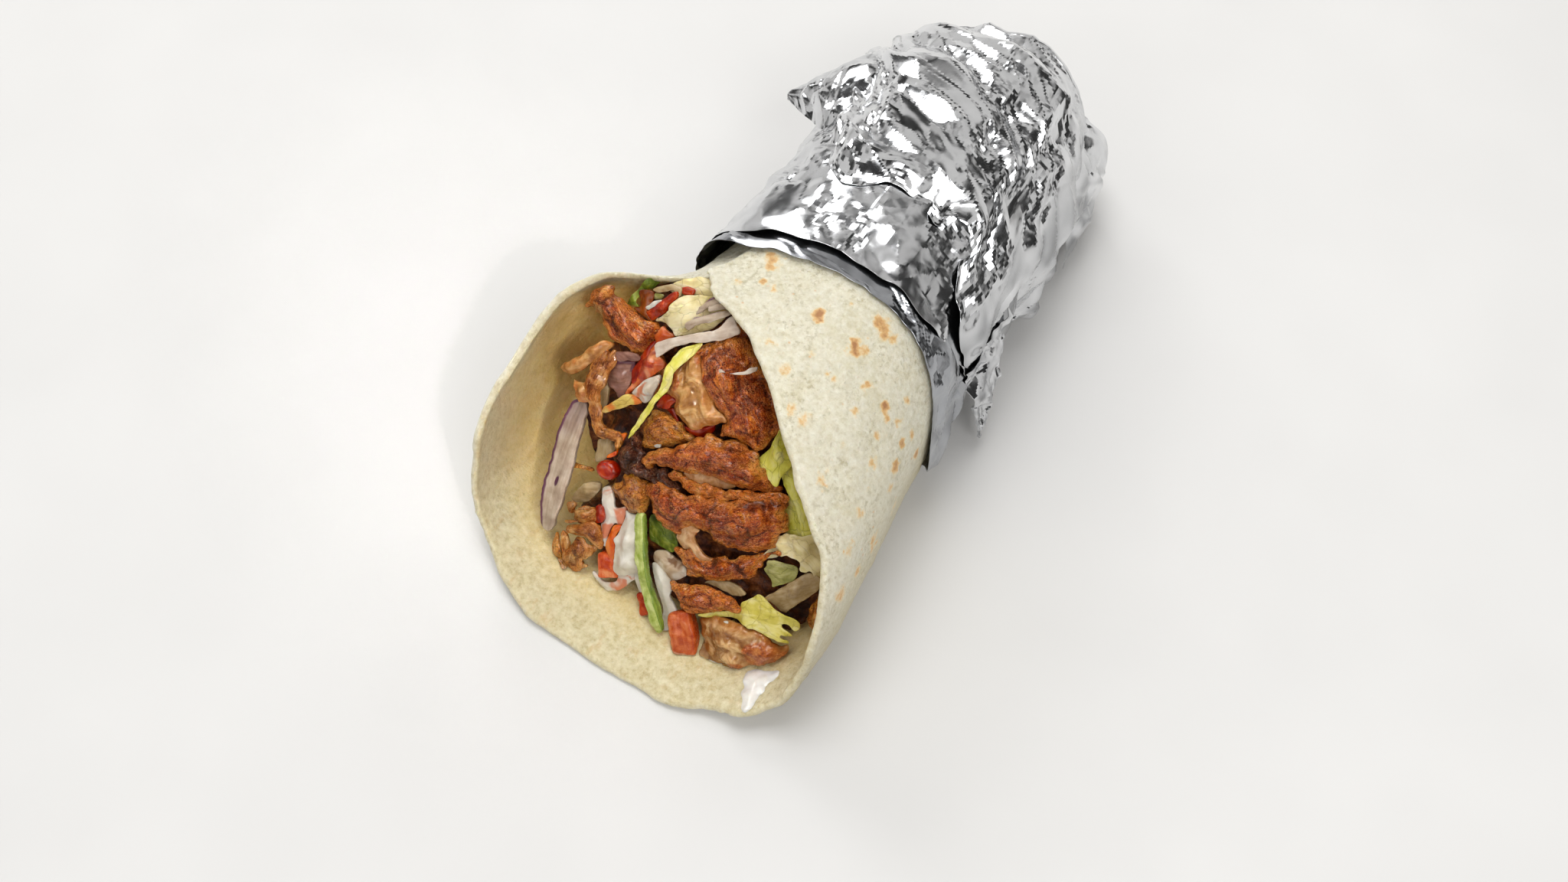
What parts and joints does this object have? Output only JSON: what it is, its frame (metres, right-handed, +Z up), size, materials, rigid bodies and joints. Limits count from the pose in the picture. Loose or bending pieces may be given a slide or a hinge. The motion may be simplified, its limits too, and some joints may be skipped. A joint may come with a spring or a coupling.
{
  "type": "gyro wrap",
  "caption": "Gyro wrap lying on its side: a rolled flour tortilla open at the mouth, heaped with roast meat, salad and white sauce, its lower half wrapped in crumpled foil.",
  "frame": {"origin": "centre of the bottom of the bounding box, on the surface the wrap lies on", "axes": "+Y along the roll, from the open mouth to the foil-wrapped tail; +Z up; +X to the right when looking into the mouth along +Y"},
  "size_m": [0.0999, 0.199, 0.066],
  "materials": {
    "tortilla": "soft dry flour tortilla, matt, with small toasted blisters",
    "foil": "thin kitchen foil, bright, smoothed at the collar and crumpled behind it",
    "filling": "chopped roast meat and salad between the larger pieces, moist",
    "meat": "roast meat, fibrous, with a browned glistening crust and paler cut sides",
    "onion": "raw onion, wet and slightly clear, with purple edges",
    "lettuce": "fresh lettuce, thin, yellow-green, with a soft sheen",
    "cucumber": "cucumber stick with a darker green skin side, wet",
    "tomato": "diced tomato, wet",
    "sauce": "thick white yoghurt sauce, glossy"
  },
  "bodies": {
    "root": {"tortilla": "tortilla", "foil": "foil", "onion_curl": "onion", "lettuce_strip": "lettuce", "onion_slice_top": "onion", "cucumber_stick": "cucumber", "meat_slab_front": "meat", "meat_slab_lower": "meat", "meat_slab_middle": "meat", "meat_slab_upper": "meat", "meat_chunk_large": "meat", "meat_chunk_pale": "meat", "meat_nub_golden": "meat", "meat_nub_lower": "meat", "meat_bark_dark": "meat", "meat_top_left": "meat", "meat_pale_end": "meat", "meat_arch": "meat", "lettuce_fringed": "lettuce", "lettuce_folded_leaf": "lettuce", "lettuce_right_strip": "lettuce", "lettuce_pale_leaf": "lettuce", "lettuce_green_square": "lettuce", "onion_slice_right": "onion", "meat_sliver_right": "meat", "meat_chunk_lip": "meat", "tomato_block": "tomato", "onion_slice_left": "onion", "meat_shred_left": "meat", "meat_shred_low": "meat", "tomato_sauced": "tomato", "white_sauce": "sauce", "tomato_dice": "tomato", "lettuce_dark_leaf": "lettuce", "onion_petal": "onion", "lettuce_tip": "lettuce", "tomato_strip_top": "tomato", "onion_slice_back": "onion", "lettuce_pale_top": "lettuce", "lettuce_top_green": "lettuce", "meat_behind_flap": "meat", "meat_under_chunk": "meat", "filling": "filling"}
  },
  "joints": []
}
